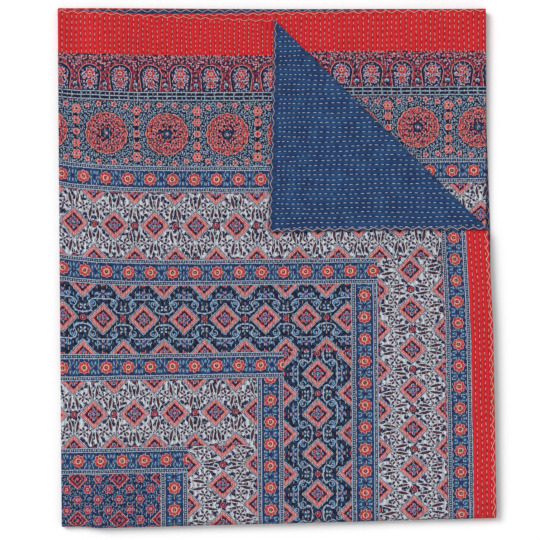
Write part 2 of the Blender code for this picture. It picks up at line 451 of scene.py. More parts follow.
# Sizes of the printing blocks and bands, in millimetres on the flat cloth
blocks = {
    "redEnd": 98,  # plain red at the top
    "guardEnd": 203,
    "medallionEnd": 345,
    "redSide": 52,
    "flowerBand": 58,
    "flowerPitch": 49,
    "lozengeBand": 147.4,
    "lozengePitch": 90.3,
    "lozengeRise": 76.5,  # from the middle of the band to its half lozenges
    "centreFrom": 674.4,
    "bandBow": 11,  # the upright bands are printed this far out of place
    "medallionPitch": 134,
    "medallionStart": 40.2,
    "medallionRadius": 45.5,
    "archPitch": 67,
    "archStart": 8.9,
    "archSpring": 146,
    "centreRepeat": (67.9, 22.6, 47.1, 45.75),  # starts across and down, then pitches
}
quarterWide, quarterTall = blocks["lozengePitch"] / 2, blocks["lozengeRise"]

# The bands from the edge inward: what they hold, where the first block comes and the blocks' pitch, in
# millimetres, in the lying bands and then in the upright ones, and whether the ground is dark
bandRows = (
    ("flowers", 12.0, 49.1, 31.7, 47.65, 0),
    ("lozenges", 15.4, 90.3, 43.5, 89.1, 0),
    ("flowers", 11.3, 49.1, 45.3, 49.0, 0),
    ("lozenges", 42.0, 90.3, 4.2, 89.1, 1),
    ("flowers", 13.5, 49.1, 36.6, 48.6, 0),
    ("lozenges", 64.3, 90.3, 67.7, 89.1, 0),
    ("flowers", 28.4, 49.1, 29.9, 48.7, 0),
)

# Madder, indigo and resist colours of the block print, as they look on the washed cloth
inks = {
    "crimson": "#C81A24",
    "deepNavy": "#0A0E2C",
    "navy": "#101840",
    "indigo": "#1A3464",
    "blue": "#152E60",
    "teal": "#1D4C68",
    "skyBlue": "#78A4CC",
    "paleBlue": "#9DB2CA",
    "paleGrey": "#C0C6CD",
    "cream": "#D6C8BC",
    "palePink": "#CC969C",
    "rose": "#B8505A",
    "madder": "#A82A34",
    "coral": "#C84C40",
    "maroon": "#501F38",
    "lilac": "#8884AC",
    "plum": "#33204A",
}
inkNumbers = {name: (k + 0.5) / len(inks) for k, name in enumerate(inks)}


# Each print function paints ink numbers over one another, from the place on the cloth in millimetres. The
# colours come last, from one stepped ramp.
def paint(under, ink, *masks):
    # the ink where every mask is 1
    mask = masks[0]
    for other in masks[1:]:
        mask = add("Math.MULTIPLY", mask, other)
    return add("Mix", mask, under, inkNumbers[ink])


def fill(under, distance, *steps):
    # where the distance is short: each step is a limit and the ink inside it, the widest first
    for limit, ink in steps:
        under = paint(under, ink, add("Math.LESS_THAN", distance, limit))
    return under


def fillDot(under, place, x, y, *steps):
    return fill(under, add("VectorMath.DISTANCE", place, (x, y, 0)), *steps)


def offFrom(distance, middle):
    # how far a distance is from one value, to either side of it
    return add("Math.ABSOLUTE", add("Math.SUBTRACT", distance, middle))


def nearestOf(along, start, pitch):
    # how far the nearest of a row of places is
    return add("Math.PINGPONG", add("Math.SUBTRACT", along, start), pitch / 2)


def nearerCentre(x, y, wide, tall, halfway):
    # The quarters of two motifs that alternate are one another turned round: past halfway, the place counts
    # from the far corner.
    turned = add("Math.GREATER_THAN", add("Math", x, y), halfway)
    nearX = add("Mix", turned, x, add("Math.SUBTRACT", wide, x))
    return nearX, add("Mix", turned, y, add("Math.SUBTRACT", tall, y))


def aroundFrom(place, x, y):
    # the distance and the angle from a centre
    fromCentre = add("VectorMath.SUBTRACT", place, (x, y, 0))
    partX, partY = add("SeparateXYZ", fromCentre).node.outputs[:2]
    return add("VectorMath.LENGTH", fromCentre), add("Math.ARCTAN2", partY, partX)


def wavesRound(angle, count):
    # waves round a flower, highest in the middle of each petal
    return add("Math.COSINE", add("Math.MULTIPLY", angle, count))


def flowerAt(place, x, y, count):
    distance, angle = aroundFrom(place, x, y)
    return distance, wavesRound(angle, count)


def lobed(distance, petals, depth):
    # the distance, less where a petal reaches out
    return add("Math.MULTIPLY_ADD", petals, -depth, distance)


def fillFlower(under, place, flower, *layers):
    # flower is its middle's place and how many petals it has. Each layer is how far the petals stand out in
    # it, then its steps.
    distance, petals = flowerAt(place, *flower)
    for depth, *steps in layers:
        under = fill(under, lobed(distance, petals, depth) if depth else distance, *steps)
    return under


def loosePetals(distance, petals, middle, reach):
    # less than a few millimetres only inside petals that stand apart, at this distance from the centre
    return lobed(offFrom(distance, middle), petals, reach)


def curlsOf(specks, wave, size, half):
    # open rings about the specks: each shows only where the wave is high, and so reads as a curl
    onRing = add("Math.LESS_THAN", offFrom(specks, size), half)
    return onRing, add("Math.GREATER_THAN", wave, -0.15)


def printFlowerBand(alongFlower, along, inBand):
    # a row of rosettes between two dotted guards, with a spray of leaves between each two
    off = offFrom(inBand, blocks["flowerBand"] / 2)
    place = add("CombineXYZ", alongFlower, off)
    spray, angle = aroundFrom(place, blocks["flowerPitch"] / 2, 1.0)
    leaves = wavesRound(add("Math.MULTIPLY_ADD", spray, 0.045, angle), 9)
    outer = lobed(offFrom(spray, 11.2), leaves, -8.0)
    ink = fill(inkNumbers["blue"], outer, (-1.8, "teal"))
    inner = lobed(offFrom(spray, 10.2), leaves, 12.0)
    ink = fill(ink, inner, (-4.6, "deepNavy"), (-6.2, "skyBlue"))
    outline = 1.1, (14.6, "deepNavy"), (13.2, "palePink"), (11.9, "madder")
    rings = 0, (6.0, "cream"), (4.6, "madder"), (2.8, "deepNavy"), (1.0, "cream")
    ink = fillFlower(ink, place, (0, 0, 8), outline, (-0.8, (9.0, "coral")), rings)
    guard = offFrom(off, 23.6)
    ink = fill(ink, guard, (4.9, "paleBlue"), (3.0, "deepNavy"))
    dot = add("VectorMath.LENGTH", add("CombineXYZ", add("Math.PINGPONG", along, 2.6), guard))
    return fill(ink, dot, (1.4, "paleBlue"))


def bowedLeaf(fromAxis, along):
    # below nought inside a leaf that stands beside an axis and leans in to it
    share = add("Math.DIVIDE", add("Math.SUBTRACT", along, 10), 31)
    squared = add("Math.MULTIPLY", share, share)
    off = offFrom(fromAxis, add("Math.MULTIPLY_ADD", squared, -5.6, 9.8))
    return add("Math.MULTIPLY_ADD", add("Math.SUBTRACT", share, squared), -13.0, off)


def printLightGround(place, x, y, specks, wave):
    # pale ground with pairs of bowed leaves, star flowers, specks and curls, in one quarter of a lozenge
    ink = paint(inkNumbers["paleGrey"], "plum", *curlsOf(specks, wave, 0.46, 0.11))
    ink = fill(ink, specks, (0.34, "navy"))
    fromAxis = add("Math.SUBTRACT", quarterWide, x)
    farSide = add("Math.SUBTRACT", quarterTall, y)
    leaf = add("Math.MINIMUM", bowedLeaf(fromAxis, y), bowedLeaf(x, farSide))
    ink = fill(ink, leaf, (1.7, "paleGrey"), (0.0, "deepNavy"), (-1.2, "maroon"))
    for hookX, hookY in ((36.5, 43.8), (8.65, 32.7)):
        ink = fillDot(ink, place, hookX, hookY, (5.4, "paleGrey"), (4.4, "deepNavy"))
        ink = fillDot(ink, place, hookX - 0.8, hookY - 1.4, (2.2, "paleGrey"))
    ink = fillDot(ink, place, quarterWide, 24, (2.8, "navy"))
    ink = fillDot(ink, place, quarterWide, 15.5, (1.8, "teal"))
    ink = fillDot(ink, place, 0, 52, (2.8, "navy"))
    distance, petals = flowerAt(place, 21.8, 38.2, 5)
    ink = fill(ink, distance, (11.8, "paleGrey"))
    petal = loosePetals(distance, petals, 6.6, 3.6)
    ink = fill(ink, petal, (1.6, "plum"), (-1.2, "maroon"))
    return fill(ink, distance, (2.4, "navy"))


def printDarkGround(place, x, y, specks, wave):
    # deep blue ground, with one vine that swings between the lozenges and the small rounds
    ink = fill(inkNumbers["deepNavy"], specks, (0.20, "indigo"))
    ink = paint(ink, "teal", *curlsOf(specks, wave, 0.43, 0.08))
    fromAxis = add("Math.SUBTRACT", quarterWide, x)
    swing = add("Math.SINE", add("Math.MULTIPLY", y, 0.24))
    side = add("Math.SUBTRACT", add("Math.MULTIPLY_ADD", swing, 3.2, fromAxis), 16.5)
    cup = add("Math.SMOOTH_MAX", side, add("Math.SUBTRACT", 12.5, y), 16.0)
    vine = add("Math.SMOOTH_MIN", cup, add("Math.SUBTRACT", 43.0, y), 16.0)
    for curlX, curlY, size in ((22.0, 31.5, 5.4), (35.5, 46.5, 4.6), (13.0, 51.0, 4.4)):
        distance = add("VectorMath.DISTANCE", place, (curlX, curlY, 0))
        ink = fill(ink, distance, (size + 1.2, "deepNavy"))
        ink = fill(ink, offFrom(distance, size), (1.0, "skyBlue"))
        ink = fillDot(ink, place, curlX + 0.6 * size, curlY - 0.7 * size, (2.4, "deepNavy"))
        ink = fillDot(ink, place, curlX, curlY + 1.2, (1.8, "skyBlue"))
    nearVine = add("Math.ABSOLUTE", vine)
    leaflet = add("Math.MULTIPLY_ADD", specks, 9.0, nearVine)
    ink = fill(ink, leaflet, (3.9, "skyBlue"))
    ink = fill(ink, nearVine, (1.0, "paleBlue"))
    for flowerX, flowerY, petalInk in ((quarterWide, 24.0, "paleBlue"), (0, 53.0, "lilac")):
        distance, petals = flowerAt(place, flowerX, flowerY, 5)
        ink = fill(ink, loosePetals(distance, petals, 4.8, 2.6), (0.9, petalInk))
    onStem = add("Math.LESS_THAN", fromAxis, 0.9)
    return paint(ink, "paleBlue", onStem, add("Math.LESS_THAN", y, 12.5))


def printLozengeBand(cloth, x, inBand, isDark):
    # whole lozenges down the middle of the band and half ones at its edges, with small rounds between them
    y = offFrom(inBand, blocks["flowerBand"] + blocks["lozengeBand"] / 2)
    specks = add("TexVoronoi", cloth, 0.105, voronoi_dimensions="2D")
    wave = add("Math.SINE", add("VectorMath.DOT_PRODUCT", cloth, (0.41, 0.29, 0)))
    darkInk = printDarkGround(add("CombineXYZ", x, y), x, y, specks, wave)
    nearX, nearY = nearerCentre(x, y, quarterWide, quarterTall, 60.8)
    place = add("CombineXYZ", nearX, nearY)
    ink = add("Mix", isDark, printLightGround(place, nearX, nearY, specks, wave), darkInk)
    rings = (8.6, "navy"), (6.2, "rose"), (4.2, "deepNavy"), (2.4, "rose")
    ink = fillDot(ink, place, quarterWide, 0, *rings)
    lozenge = add("Math", nearX, nearY)
    frames = (35.0, "paleBlue"), (33.0, "deepNavy"), (31.2, "palePink"), (29.6, "rose")
    ink = fill(ink, lozenge, *frames)
    # two rows of pale dots along the frame
    offRow = offFrom(offFrom(lozenge, 25.6), 1.9)
    alongFrame = add("Math.PINGPONG", add("Math.SUBTRACT", nearX, nearY), 2.2)
    ink = fill(ink, add("Math.MAXIMUM", alongFrame, offRow), (0.95, "cream"))
    ink = fill(ink, lozenge, (21.6, "madder"), (19.8, "deepNavy"))
    distance, petals = flowerAt(place, 0, 0, 4)
    petal = loosePetals(distance, petals, 8.6, 4.2)
    ink = fill(ink, petal, (0.8, "lilac"), (-2.0, "indigo"))
    ink = fill(ink, loosePetals(distance, petals, 8.6, -3.2), (0.2, "rose"))
    return fill(ink, distance, (3.0, "skyBlue"), (1.6, "madder"))


def printCentre(across, down):
    # small flowers in staggered rows on navy, with a lozenge in place of every fourth
    startX, startY, pitchX, pitchY = blocks["centreRepeat"]
    x = nearestOf(across, startX, pitchX)
    y = nearestOf(down, startY, pitchY)
    nearX, nearY = nearerCentre(x, y, pitchX / 2, pitchY / 2, 23.2)
    ticks = add("Math.SINE", add("Math.MULTIPLY", add("Math.SUBTRACT", nearX, nearY), 0.9))
    ink = paint(inkNumbers["navy"], "blue", add("Math.GREATER_THAN", ticks, 0.75))
    specks = add("TexVoronoi", add("CombineXYZ", across, down), 0.2, voronoi_dimensions="2D")
    ink = fill(ink, specks, (0.36, "teal"), (0.20, "skyBlue"))
    outline = 1.4, (12.0, "deepNavy"), (10.0, "lilac"), (8.4, "madder")
    rings = 0, (5.2, "navy"), (3.8, "palePink"), (2.2, "madder")
    ink = fillFlower(ink, add("CombineXYZ", nearX, nearY), (0, 0, 6), outline, rings)
    x = nearestOf(across, startX, 2 * pitchX)
    lozenge = add("Math", x, nearestOf(down, startY, 2 * pitchY))
    frames = (24.0, "deepNavy"), (22.8, "palePink"), (21.0, "madder"), (17.0, "navy")
    return fill(ink, lozenge, *frames, (13.4, "rose"), (10.6, "navy"), (4.6, "rose"))


def printMedallions(cloth, across, down):
    # round medallions of eight flowers, with a standing spray between each two, on a speckled ground
    specks = add("TexVoronoi", cloth, 0.25, voronoi_dimensions="2D")
    shade = add("TexNoise", cloth, 0.035, 1.0, noise_dimensions="2D")
    ink = paint(inkNumbers["deepNavy"], "navy", add("Math.GREATER_THAN", shade, 0.52))
    ink = fill(ink, specks, (0.42, "teal"), (0.27, "paleBlue"))
    x = nearestOf(across, blocks["medallionStart"], blocks["medallionPitch"])
    y = offFrom(down, (blocks["guardEnd"] + blocks["medallionEnd"]) / 2)
    place = add("CombineXYZ", x, y)
    onStem = add("Math.GREATER_THAN", x, 62.4)
    ink = paint(ink, "deepNavy", onStem, add("Math.LESS_THAN", y, 46))
    between = blocks["medallionPitch"] / 2
    for centreY, size in ((51, 9.5), (26, 8.0)):
        outline = 1.4, (size + 2.2, "deepNavy"), (size + 0.6, "palePink"), (size - 1.0, "coral")
        layers = outline, (-1.6, (size - 4.4, "palePink")), (0, (2.6, "navy"))
        ink = fillFlower(ink, place, (between, centreY, 6), *layers)
    ink = fillDot(ink, place, between, 0, (7.4, "palePink"), (5.4, "coral"), (2.0, "navy"))
    ink = fillDot(ink, place, between, 12.5, (4.0, "deepNavy"))
    layers = (1.2, (7.2, "deepNavy"), (5.8, "palePink")), (0, (3.6, "rose"), (1.4, "navy"))
    for centreX, centreY in ((43, 60), (17, 64)):
        ink = fillFlower(ink, place, (centreX, centreY, 5), *layers)
    distance, angle = aroundFrom(place, 0, 0)
    petals = wavesRound(angle, 16)
    outline = lobed(distance, petals, 1.1)
    radius = blocks["medallionRadius"]
    steps = (radius + 3.2, "deepNavy"), (radius + 1.0, "palePink"), (radius - 0.4, "coral")
    ink = fill(ink, outline, *steps)
    isInner = add("Math.LESS_THAN", distance, radius - 1.2)
    ink = paint(ink, "navy", add("Math.GREATER_THAN", specks, 0.40), isInner)
    isInside = add("Math.LESS_THAN", distance, radius - 1)
    ink = paint(ink, "palePink", isInside, add("Math.LESS_THAN", specks, 0.20))
    ink = fill(ink, loosePetals(distance, petals, 38.5, 2.8), (3.4, "coral"))
    # one sixteenth of the medallion, mirrored all the way round
    sixteenth = add("Math.PINGPONG", angle, math.pi / 8)
    outX = add("Math.MULTIPLY", distance, add("Math.COSINE", sixteenth))
    outY = add("Math.MULTIPLY", distance, add("Math.SINE", sixteenth))
    sector = add("CombineXYZ", outX, outY)
    outline = 1.2, (9.4, "palePink"), (8.0, "madder")
    layers = outline, (-1.0, (4.2, "palePink")), (0, (2.9, "deepNavy"))
    ink = fillFlower(ink, sector, (29, 0, 5), *layers)
    ink = fillDot(ink, sector, 36.6, 15.2, (3.0, "navy"), (1.4, "skyBlue"))
    ink = fillDot(ink, sector, 17.5, 7.2, (3.2, "deepNavy"))
    ink = fill(ink, distance, (12.0, "navy"))
    ink = fill(ink, lobed(distance, wavesRound(sixteenth, 2), 4.4), (4.2, "teal"))
    ink = fill(ink, distance, (3.4, "palePink"))
    return paint(ink, "navy", isInside, add("Math.GREATER_THAN", specks, 0.56))


def printArcade(cloth, across, down):
    # a row of round arches on short columns, with flowers inside each and over it
    specks = add("TexVoronoi", cloth, 0.20, voronoi_dimensions="2D")
    x = nearestOf(across, blocks["archStart"], blocks["archPitch"])
    fromSpring = add("Math.SUBTRACT", blocks["archSpring"], down)
    above = add("Math.MAXIMUM", fromSpring, 0)
    narrowed = add("Math.MULTIPLY_ADD", add("Math.MINIMUM", fromSpring, 0), -0.14, x)
    arch = add("VectorMath.LENGTH", add("CombineXYZ", narrowed, above))
    place = add("CombineXYZ", x, down)
    grains = (0.40, "rose"), (0.24, "palePink"), (0.12, "paleGrey")
    ink = fill(inkNumbers["navy"], specks, *grains)
    between = blocks["archPitch"] / 2
    for centreX, centreY, size in ((between, 108, 9.0), (0, 103, 6.4), (18, 104, 5.4)):
        outline = 1.4, (size + 1.4, "navy"), (size, "palePink"), (size - 1.6, "madder")
        ink = fillFlower(ink, place, (centreX, centreY, 5), outline, (0, (1.6, "cream")))
    waves = [add("Math.SINE", add("Math.MULTIPLY", part, 0.62)) for part in (x, down)]
    scalloped = add("Math.MULTIPLY_ADD", add("Math.MULTIPLY", *waves), 1.6, arch)
    ink = fill(ink, scalloped, (33.2, "navy"), (32.0, "madder"))
    ink = paint(ink, "navy", add("Math.GREATER_THAN", specks, 0.45))
    steps = (25.4, "palePink"), (24.2, "deepNavy"), (20.4, "indigo"), (19.2, "navy")
    ink = fill(ink, arch, *steps)
    isInside = add("Math.LESS_THAN", arch, 19.0)
    ink = paint(ink, "lilac", isInside, add("Math.LESS_THAN", specks, 0.34))
    ink = paint(ink, "paleGrey", isInside, add("Math.LESS_THAN", specks, 0.20))
    for centreY, size in ((141, 10.5), (163, 8.0)):
        outline = 1.6, (size, "palePink"), (size - 1.4, "madder")
        layers = outline, (-1.0, (size - 5.8, "palePink")), (0, (2.0, "navy"))
        ink = fillFlower(ink, place, (0, centreY, 6), *layers)
    ink = fillDot(ink, place, 12.5, 152, (3.8, "palePink"), (2.0, "madder"))
    ink = fillDot(ink, place, between, 166, (6.4, "deepNavy"), (4.6, "paleBlue"))
    ink = fillDot(ink, place, between, 168, (3.0, "teal"))
    # three pale lines with dashes between them close the arcade
    offGuard = offFrom(down, 190.5)
    ink = fill(ink, offGuard, (11.5, "deepNavy"))
    betweenDashes = add("Math.GREATER_THAN", add("Math.PINGPONG", across, 10.6), 9.8)
    ink = paint(ink, "paleBlue", betweenDashes, add("Math.LESS_THAN", offGuard, 8.6))
    onLine = add("Math.LESS_THAN", add("Math.PINGPONG", offGuard, 4.3), 0.95)
    return paint(ink, "paleBlue", onLine, add("Math.LESS_THAN", offGuard, 10.6))


def steppedRamp(value, steps):
    # a ramp without blends: each step is where it starts and its colour
    made = add("ValToRGB", value)
    ramp = made.node.color_ramp
    ramp.interpolation = "CONSTANT"
    ramp.elements.remove(ramp.elements[-1])
    for start, colour in steps:
        step = ramp.elements[0] if start == 0 else ramp.elements.new(start)
        step.color = colour
    return made


def bandLookup(depth, lookupRows):
    # gives each band its start, pitch and ground
    steps = []
    reach = 0.0
    for kind, start, pitch, dark in lookupRows:
        steps.append((reach / blocks["centreFrom"], (start / 100, pitch / 100, dark, 1)))
        reach += blocks["flowerBand" if kind == "flowers" else "lozengeBand"]
    return steppedRamp(add("Math.DIVIDE", depth, blocks["centreFrom"]), steps)


def bandNumber(depth):
    # 0 for the outermost flower band, 1 for the lozenges inside it, and so on
    period = blocks["flowerBand"] + blocks["lozengeBand"]
    inPair = add("Math.FLOORED_MODULO", depth, period)
    pair = add("Math.FLOOR", add("Math.DIVIDE", depth, period))
    isLozenge = add("Math.GREATER_THAN", inPair, blocks["flowerBand"])
    return add("Math.MULTIPLY_ADD", pair, 2, isLozenge)


def printOnCloth(place):
    # the whole print: bands that run round all four sides, mitred at the corners, with the arcade and the
    # medallions at the two ends
    width, length = quilt["width"] * 1000, quilt["length"] * 1000
    across, down = add("SeparateXYZ", place).node.outputs[:2]
    fromSide = add("Math.MINIMUM", across, add("Math.SUBTRACT", width, across))
    fromEnd = add("Math.MINIMUM", down, add("Math.SUBTRACT", length, down))
    bow = add("Math.MULTIPLY", fromSide, math.pi / blocks["centreFrom"])
    bow = add("Math.SINE", bow)
    sideDepth = add("Math.SUBTRACT", fromSide, blocks["redSide"])
    sideDepth = add("Math.MULTIPLY_ADD", bow, blocks["bandBow"], sideDepth)
    endDepth = add("Math.SUBTRACT", fromEnd, blocks["medallionEnd"])
    sideNumber = add("Math", bandNumber(sideDepth), 0.5)
    isLying = add("Math.LESS_THAN", bandNumber(endDepth), sideNumber)
    depth = add("Mix", isLying, sideDepth, endDepth)
    along = add("Mix", isLying, down, across)
    lying = bandLookup(depth, [(row[0], row[1], row[2], row[5]) for row in bandRows])
    upright = bandLookup(depth, [(row[0], row[3], row[4], row[5]) for row in bandRows])
    band = add("Mix", isLying, upright, lying, data_type="RGBA")
    start, pitch, isDark = add("SeparateXYZ", band).node.outputs[:3]
    fromStart = add("Math.MULTIPLY_ADD", start, -100, along)
    turns = add("Math.DIVIDE", fromStart, add("Math.MULTIPLY", pitch, 100))
    half = add("Math.PINGPONG", turns, 0.5)
    inBand = add("Math.FLOORED_MODULO", depth, blocks["flowerBand"] + blocks["lozengeBand"])
    flowerInk = printFlowerBand(add("Math.MULTIPLY", half, blocks["flowerPitch"]), along, inBand)
    alongLozenge = add("Math.MULTIPLY", half, blocks["lozengePitch"])
    lozengeInk = printLozengeBand(place, alongLozenge, inBand, isDark)
    isLozenge = add("Math.GREATER_THAN", inBand, blocks["flowerBand"])
    ink = add("Mix", isLozenge, flowerInk, lozengeInk)
    inward = add("Math.MINIMUM", sideDepth, endDepth)
    isCentre = add("Math.GREATER_THAN", inward, blocks["centreFrom"])
    ink = add("Mix", isCentre, ink, printCentre(across, down))
    ink = fill(ink, depth, (0.0, "crimson"))
    isBeyond = add("Math.MULTIPLY", isLying, add("Math.LESS_THAN", endDepth, 0))
    ink = add("Mix", isBeyond, ink, printMedallions(place, across, fromEnd))
    inArcade = add("Math.LESS_THAN", fromEnd, blocks["guardEnd"])
    ink = add("Mix", inArcade, ink, printArcade(place, across, fromEnd))
    return fill(ink, fromEnd, (blocks["redEnd"], "crimson"))


def inkColours(ink):
    steps = [(k / len(inks), linear(code)) for k, code in enumerate(inks.values())]
    return steppedRamp(ink, steps)


# Plain-weave cotton, woven from uneven hand-spun thread. Its threads lie 0.4 mm apart, too fine to show, so
# their slubs are drawn 1.8 mm wide. Each row of stitches draws the cloth in along a soft hollow, and small
# crinkles run out from it. The hollows and crinkles are darkened with painted shade.
weave = {
    "slubWide": 1.8,
    "slubLong": 16.0,
    "crinkle": 6.0,
    "relief": 0.0007,
    "toneSpread": 0.22,
    "rowDeep": 1.1,
    "paintedRowShade": 0.36,
    "patchLong": 83.0,
    "sheen": 0.06,
    "sheenRoughness": 0.6,
    "specular": 0.3,
}


def weaveOf(place):
    # how high the thread stands and how high the crinkles do, both about a half
    thread = []
    for long, wide in ((weave["slubLong"], weave["slubWide"]), (weave["slubWide"], weave["slubLong"])):
        stretched = add("VectorMath.MULTIPLY", place, (1 / long, 1 / wide, 0))
        thread.append(add("TexNoise", stretched, 1.0, 1.0, noise_dimensions="2D"))
    crinkle = add("TexNoise", place, 1 / weave["crinkle"], 2.0, noise_dimensions="2D")
    return add("Math.MULTIPLY", add("Math", *thread), 0.5), crinkle


def flatMillimetres():
    # the place on the flat cloth, as marked on the mesh
    return add("VectorMath.MULTIPLY", add("UVMap", uv_map="printPlace"), (1000, 1000, 0))


def connect(shader, name, value):
    current["tree"].links.new(value, shader.inputs[name])


def finishCloth(shader, colour, place, roughness):
    # the weave's relief, its lighter and darker threads and painted row shade, over a cloth of any colour
    thread, crinkle = weaveOf(place)
    acrossRows = add("SeparateXYZ", add("UVMap", uv_map="rowPlace"))
    rowTurn = add("Math.MULTIPLY", acrossRows, 2 * math.pi)
    hollow = add("MapRange", add("Math.COSINE", rowTurn), -0.6, 1.0, 0.0, 1.0)
    patches = add("TexNoise", place, 1 / weave["patchLong"], 3.0, noise_dimensions="2D")
    tone = add("Math.MULTIPLY", add("Math", thread, patches), weave["toneSpread"])
    tone = add("Math", tone, 1 - weave["toneSpread"])
    # painted shade: the colour darkens where the rows draw the cloth in, and along the crinkles there
    dark = add("Math.MULTIPLY", hollow, crinkle)
    tone = add("Math.MULTIPLY_ADD", dark, -2 * weave["paintedRowShade"], tone)
    connect(shader, "Base Color", add("VectorMath.SCALE", colour, tone))
    height = add("Math.MULTIPLY_ADD", thread, 0.35, crinkle)
    height = add("Math.MULTIPLY_ADD", hollow, -weave["rowDeep"], height)
    connect(shader, "Normal", add("Bump", 1.0, weave["relief"], None, height))
    shader.inputs["Roughness"].default_value = roughness
    shader.inputs["Sheen Weight"].default_value = weave["sheen"]
    shader.inputs["Sheen Roughness"].default_value = weave["sheenRoughness"]
    shader.inputs["Specular IOR Level"].default_value = weave["specular"]


# Cotton, block printed by hand and washed many times: matt, its colours' edges a little ragged where the
# paste met the weave, and the blocks set down a little crooked
printedCotton = {
    "roughness": 0.92,
    "ragged": 0.9,
    "raggedPerMm": 0.30,
    "crooked": 2.4,
    "crookedPerMm": 0.018,
}


def printedColour():
    # the print's colour and the place in millimetres, from the place marked on the mesh
    flat = flatMillimetres()
    ragged, crooked = printedCotton["ragged"], printedCotton["crooked"]
    back = -(ragged + crooked) / 2
    slow = add("TexNoise", flat, printedCotton["crookedPerMm"], 1.0, noise_dimensions="2D")
    place = add("VectorMath.MULTIPLY_ADD", slow.node.outputs["Color"], (crooked, crooked, 0), flat)
    quick = add("TexNoise", place, printedCotton["raggedPerMm"], 0.0, noise_dimensions="2D")
    place = add("VectorMath.MULTIPLY_ADD", quick.node.outputs["Color"], (ragged, ragged, 0), place)
    place = add("VectorMath.ADD", place, (back, back, 0))
    return inkColours(printOnCloth(place)), flat


def makePrintedCotton():
    material, shader = newMaterial("printedCotton")
    colour, flat = printedColour()
    finishCloth(shader, colour, flat, printedCotton["roughness"])
    print("printed cotton:", len(material.node_tree.nodes), "nodes")
    return material


# Cotton, woven plain and vat-dyed indigo: a deep matt blue, uneven where the dye took less
indigoCotton = {"deep": "#11305E", "faded": "#1C4472", "patchesPerMm": 0.03, "roughness": 0.9}


def makeIndigoCotton():
    material, shader = newMaterial("indigoCotton")
    flat = flatMillimetres()
    dye = add("TexNoise", flat, indigoCotton["patchesPerMm"], 3.0, noise_dimensions="2D")
    dye = add("MapRange", dye, 0.3, 0.7, 0.0, 1.0)
    colour = add("Mix", dye, linear(indigoCotton["deep"]), linear(indigoCotton["faded"]), data_type="RGBA")
    finishCloth(shader, colour, flat, indigoCotton["roughness"])
    return material


# Thick unbleached cotton thread, two-ply. Running stitch goes through all the layers of the quilt, and a
# zigzag stitch closes its edges. Metres.
sewing = {
    "stitchPitch": 0.0133,
    "stitchLong": 0.0078,
    "stitchWide": 0.0014,
    "stitchHigh": 0.0007,
    "sunk": 0.0004,  # how deep a stitch's ends go into the cloth
    "uneven": 0.20,
    "strays": 0.05,
    "slants": 0.04,
    "fromEdge": 0.011,
    "rowFromEdge": 0.004,
    "zigzagStep": 0.0123,
    "zigzagDeep": 0.0060,
    "zigzagInset": 0.0011,
    "zigzagRadius": 0.0006,
    "zigzagSides": 6,
    "seed": 4,
}

# Cotton thread, plied: matt, with painted shade in its twist. Along the edges it is undyed cream. On the
# backing the indigo has washed into it. On the face it took the inks too, and is paler where it is rubbed.
cottonThread = {
    "cream": ("#E2C2AE", "#BC9686"),
    "rubbed": ("#F4DED6", "#DDBEB4"),
    "washedBlue": ("#C6D0E2", "#A2B2CE"),
    "bare": 0.62,  # how much of its own colour still shows on the face
    "roughness": 0.85,
    "plyLong": 0.003,
    "plyDeep": 0.0002,
    "sheen": 0.2,
}


def makeThread(name, pale, shade, bare=1.0):
    material, shader = newMaterial(name)
    place = add("TexCoord").node.outputs["Object"]
    ply = add("TexNoise", place, 1 / cottonThread["plyLong"], 1.0)
    ply = add("MapRange", ply, 0.35, 0.65, 0.0, 1.0)
    # painted shade: the darker colour of each pair goes into the twist's grooves, where the bump is low
    colour = add("Mix", ply, linear(shade), linear(pale), data_type="RGBA")
    if bare < 1:
        colour = add("Mix", bare, printedColour()[0], colour, data_type="RGBA")
    connect(shader, "Base Color", colour)
    connect(shader, "Normal", add("Bump", 1.0, cottonThread["plyDeep"], None, ply))
    shader.inputs["Roughness"].default_value = cottonThread["roughness"]
    shader.inputs["Sheen Weight"].default_value = cottonThread["sheen"]
    return material


# Stitches that can't be seen are left out, with these margins in metres.
hidden = {
    "edge": 0.035,  # the lowest and the second layer show this far in at most
    "turnedSide": 0.022,
    "turnedTop": 0.030,
    "turnedReach": 0.4,
    "gap": 0.006,
    "openFrom": -0.03,  # where the right third comes out from under the left one
}


def pastTurnedFold(x, y):
    # how far a flat place lies beyond the turned corner's fold
    return (x - turnedHinge[0]) * turnedToward[0] + (y - turnedHinge[1]) * turnedToward[1]


def showsAbove(x, y, side):
    # whether a stitch can be seen from above, on the printed side (-1) or on the backing (1)
    past = pastTurnedFold(x, y)
    isUpper = y > lowerHingeY - quilt["lowerFoldTakes"]
    nearTop = y > flatTop - hidden["edge"]
    inLeft = x < leftHingeX - halfTurn / 2
    inRight = x > rightHingeX + halfTurn / 2
    if side > 0:
        atLowestEdge = ~isUpper & (x < flatLeft + hidden["edge"])
        return (past > halfTurn) | (nearTop & ~inLeft & ~inRight) | atLowestEdge
    underX, underY = x - 2 * past * turnedToward[0], y - 2 * past * turnedToward[1]
    isUnder = (underX > flatLeft + hidden["turnedSide"]) & (underY < flatTop - hidden["turnedTop"])
    isCovered = (past > -halfTurn) | (isUnder & (past > -hidden["turnedReach"]))
    openX = inLeftThird(inRightThird(x))
    isOpen = nearTop | (pastTurnedFold(openX, y) > -hidden["gap"])
    return isUpper & (inLeft & ~isCovered | inRight & isOpen)


def showsBelow(x, y, side):
    isLower = y < lowerHingeY - quilt["lowerFoldTakes"]
    return isLower & (x < leftHingeX - halfTurn / 2) & (side < 0)


